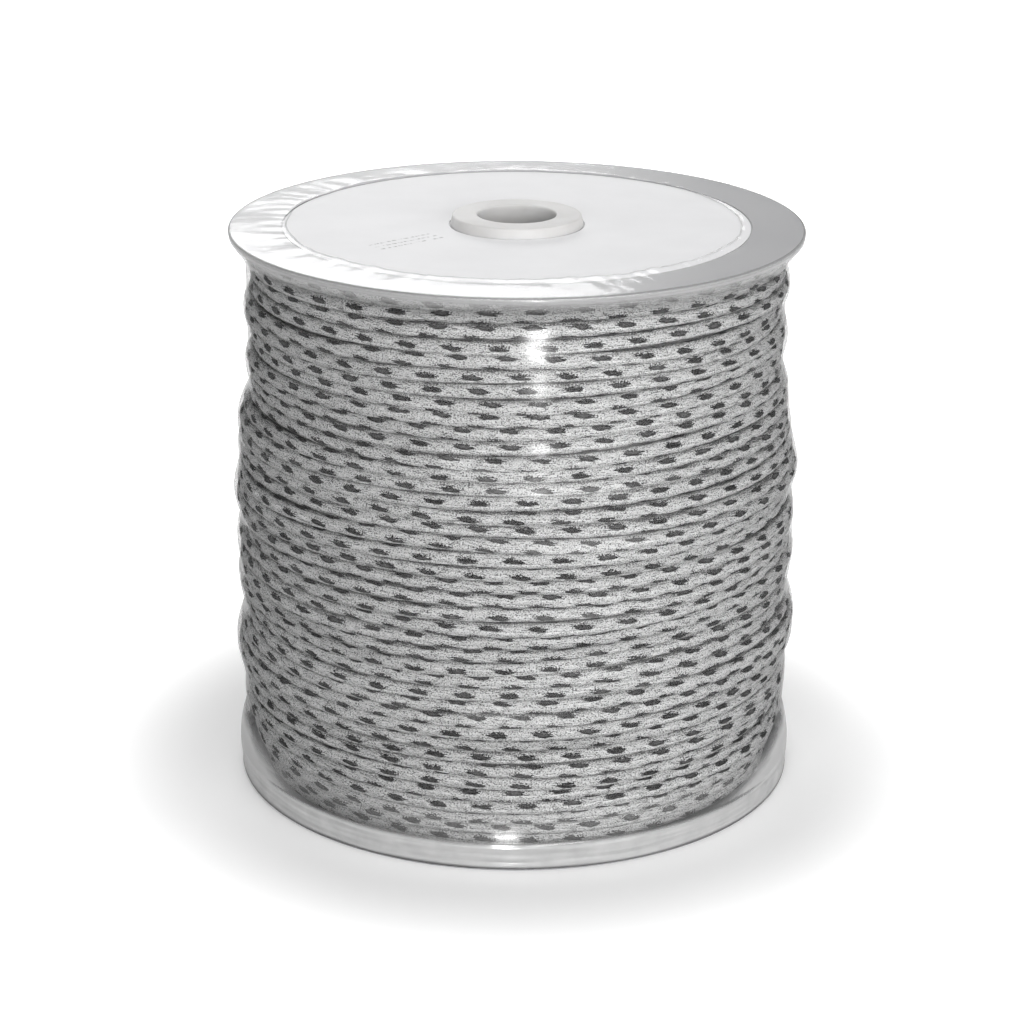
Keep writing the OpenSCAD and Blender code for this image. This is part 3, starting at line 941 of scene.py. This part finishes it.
NECK_MILK_H = (inner_top - 4 * MM, inner_top - 0.5 * MM)
SHADOW_GAP_H = (1.5 * MM, 0.7 * MM)          # heights between which the painted shadow along the lower edge sets in
RIM_SHADE = 0.34                      # how much painted shade a skin takes round the upper flange's edge
RIM_H = (reel_h - 1.9 * MM, reel_h - 1.1 * MM)
LINE_SMOKE = 0.55                     # how dark a skin is in the thin lines along the lap's outer bend and free edge
BEND_R = (flange_r - 0.65 * MM, flange_r - 0.2 * MM)
FREE_EDGE = (0.965, 0.98)             # shares of the lap between which the line at its free edge starts
CREASE_CELLS = (60, 60, 110)          # per metre
PLEAT_CELLS = (35, 35, 420)


def film_finish():
    """Clear film, with milk, dark lines and painted shade blended into its clear part by place and by angle
    of sight.
    """
    f = Finish("shrink_film")
    place = f.place()
    x, y, z = f.split(place)
    axis_r = (x * x + y * y) ** 0.5
    _, climb, _ = f.split(f.node("ShaderNodeTexCoord", output="UV"))
    lap, outer = f.kept("lap"), f.kept("outer")
    cloud = f.noise(place, 160.0, 3.0)

    # Places: the lap, the top, the lower edge, the free span, and the neck under the upper edge.
    on_lap = z.ramp(*ON_LAP_H)
    on_top = z.ramp(*ON_TOP_H)
    at_foot = z.ramp(*FOOT_MILK_H)
    span = z.ramp(inner_bottom + FOOT_SPAN, inner_bottom + FOOT_SPAN - SPAN_FADE)
    neck = z.ramp(*NECK_MILK_H) * z.ramp(reel_h - 0.2 * MM, inner_top)
    over_winding = (1 - span) * (1 - neck) * (1 - on_lap)

    # Gloss: ripples over the turns, creases, and flat pleats at the foot.
    over_turns = abs((climb * math.pi).sine())
    creases = f.drawn_noise(CREASE_CELLS, 3.0)
    pleats = f.drawn_noise(PLEAT_CELLS, 1.0)
    normal = f.bump(over_turns * 0.2 + creases * (0.9 + on_lap) + pleats * at_foot * 4.0, 0.5 * MM, 0.5)
    fresnel = f.node("ShaderNodeFresnel", inputs={"IOR": FILM_INDEX, "Normal": normal})
    most = SIDE_GLOSS_MOST + (LAP_GLOSS_MOST - SIDE_GLOSS_MOST) * on_lap
    mirrored = fresnel.maths("MINIMUM", fresnel, most) + at_foot * FOOT_SHEEN
    polish = 0.22 - 0.09 * on_lap - 0.08 * at_foot
    mirror = f.surface(Base_Color=grey(0.95), Metallic=1.0, Roughness=polish, Normal=normal)

    # Milk, by place and where the free span is seen aslant.
    low_aslant = fresnel.ramp(*LOW_ASLANT) * z.ramp(*LOW_ASLANT_H)
    aslant = (low_aslant + fresnel.ramp(*ASLANT)).clipped() * outer
    milk_and_shade = at_foot * (FOOT_MILK - SPAN_MILK) + span * SPAN_MILK + neck * NECK_MILK
    milk_and_shade = milk_and_shade * (0.7 + 0.6 * cloud) + span * (1 - at_foot) * aslant * EDGE_ON_MILK

    # Painted shade round the rim and edge on over the winding, and the lap's two dark lines.
    rim_shade = z.ramp(*RIM_H) * (1 - on_top)
    bend_line = on_top * axis_r.ramp(*BEND_R)
    free_line = lap.ramp(*FREE_EDGE) * (0.05 + 0.6 * cloud)
    lines = (bend_line + free_line).clipped() * LINE_SMOKE
    edge_shade = over_winding * fresnel.ramp(*EDGE_ON) * outer * EDGE_ON_SHADE
    milk_and_shade = (milk_and_shade + edge_shade + rim_shade * RIM_SHADE + lines).clipped()
    dark_lines_and_shade = (on_top + over_winding).clipped()
    # A dark grey for the painted shade and the lines, a pale grey for the milk, and a near black that
    # paints the shadow along the lowest edge.
    milk_and_shade_colour = f.blend(dark_lines_and_shade, f.blend(z.ramp(*SHADOW_GAP_H), grey(0.58), grey(0.10)), grey(0.24))
    milk_and_shade_skin = f.surface(Base_Color=milk_and_shade_colour, Roughness=0.35, Normal=normal)
    clear = f.node("ShaderNodeBsdfTransparent", inputs={0: (1, 1, 1, 1)})
    body = f.node("ShaderNodeMixShader", inputs={0: milk_and_shade, 1: clear, 2: milk_and_shade_skin})
    return f.done(f.node("ShaderNodeMixShader", inputs={0: mirrored, 1: body, 2: mirror}))


wear(film, film_finish())

# %% [markdown]
# ## Floor, world and lamps
#
# The floor is white to the camera and to reflections, and keeps the reel's soft shadow. It is a mix: to
# them it adds light of its own to its shade, faint beside the reel and white further out, so that round
# the reel the real shadow is deepened by a painted one, and to everything else it is a plain pale floor.
# The world is white where the camera, a reflection or clear film looks at it, and a dim grey where it
# lights the reel.
#
# A wide front lamp, one above and one behind light the reel and show in its gloss. The lamps low at the
# back and at the two sides only fill in: they are kept out of reflections, because at so flat an angle
# the lap and the label would throw them straight back. Three small lamps close to the reel do the
# opposite, and make only the film's highlights.

# %% Floor
FLOOR_HALF = 6.0
FLOOR_GLOW = 0.06                 # the floor's own light beside the reel, to what looks at it; so low that it paints a shadow there
GLOW_REACH = (90 * MM, 180 * MM)  # distances from the axis between which the glow grows to white: the painted shadow's reach


def floor_finish():
    """A pale floor, and to what looks at it a white one whose own light grows away from the axis, painting
    a shadow round the reel.
    """
    f = Finish("floor_white")
    place = f.place()
    x, y, _ = f.split(place)
    # Painted shadow: the floor's own light is low near the axis and grows to white further out.
    past_painted_shadow = ((x * x + y * y) ** 0.5).ramp(*GLOW_REACH)
    pale = f.blend(f.noise(place, 40.0, 2.0), grey(0.36), grey(0.40))
    plain = f.surface(Base_Color=pale, Roughness=0.7, Specular_IOR_Level=0.1)
    shaded = f.node("ShaderNodeBsdfDiffuse", inputs={0: grey(1.0)})
    glow = f.node("ShaderNodeEmission", inputs={0: f.blend(past_painted_shadow, grey(FLOOR_GLOW), grey(1.0)), 1: 1.0})
    seen = f.node("ShaderNodeAddShader", inputs={0: shaded, 1: glow})
    return f.done(f.node("ShaderNodeMixShader", inputs={0: f.looked_at(), 1: plain, 2: seen}))


floor_points = FLOOR_HALF * np.array([[[-1, -1, 0], [1, -1, 0]], [[-1, 1, 0], [1, 1, 0]]], float)
floor = add_surface("floor", floor_points, round_cols=False)
wear(floor, floor_finish())

# %% World
WORLD_LIGHT = 0.18

f = Finish("studio", bpy.data.worlds)
strength = WORLD_LIGHT + (1 - WORLD_LIGHT) * f.looked_at()
background = f.node("ShaderNodeBackground", inputs={0: (1, 1, 1, 1), 1: strength})
bpy.context.scene.world = f.done(background, "ShaderNodeOutputWorld")
print(f"world lights at {WORLD_LIGHT}")


# %% Lamps
def add_lamp(name, place, target, size, watts, beam=None, mirrored=True):
    """An oblong soft lamp at a place, aimed at a target point. One with a beam, in degrees, throws its
    light no wider than that, and lights glossy surfaces alone. One that isn't mirrored lights matt
    surfaces alone."""
    data = bpy.data.lights.new(name, "AREA")
    data.shape = "RECTANGLE"
    data.size, data.size_y = size
    data.energy = watts
    lamp = bpy.data.objects.new(name, data)
    bpy.context.scene.collection.objects.link(lamp)
    lamp.location = place
    lamp.rotation_euler = (Vector(target) - Vector(place)).to_track_quat("-Z", "Y").to_euler()
    lamp.visible_camera = False
    lamp.visible_glossy = mirrored
    if beam:
        data.spread = math.radians(beam)
        lamp.visible_diffuse = False
    print(f"{name}: {watts} W")


middle = (0, 0, reel_h / 2)
top = (0, 0, reel_h)
add_lamp("front_lamp", (0.27, -1.18, 0.44), middle, (1.9, 0.4), 18.7)
add_lamp("top_lamp", (0.0, 0.12, 0.95), top, (0.5, 0.3), 2.3)
add_lamp("window_lamp", (-0.27, 1.25, 0.65), top, (0.72, 0.36), 4.2)
for name, place, size, watts in (
    ("back_lamp", (0.1, 1.25, 0.22), (1.3, 0.3), 5.0),
    ("right_lamp", (1.15, -0.6, 0.3), (0.6, 0.3), 2.3),
    ("left_lamp", (-1.25, -0.2, 0.3), (0.6, 0.3), 2.1),
):
    add_lamp(name, place, middle, size, watts, mirrored=False)
add_lamp("upper_glint", (0.014, -0.145, 0.130), (0.004, -0.0755, 0.150), (0.009, 0.014), 0.0034, 55)
add_lamp("middle_glint", (0.0146, -0.135, 0.120), (0.006, -0.0755, 0.120), (0.006, 0.012), 0.0008, 55)
add_lamp("foot_glint", (-0.003, -0.103, 0.003), (-0.002, -0.0810, 0.007), (0.010, 0.003), 0.0017, 90)

# %% View settings
bpy.context.scene.view_settings.view_transform = "Standard"
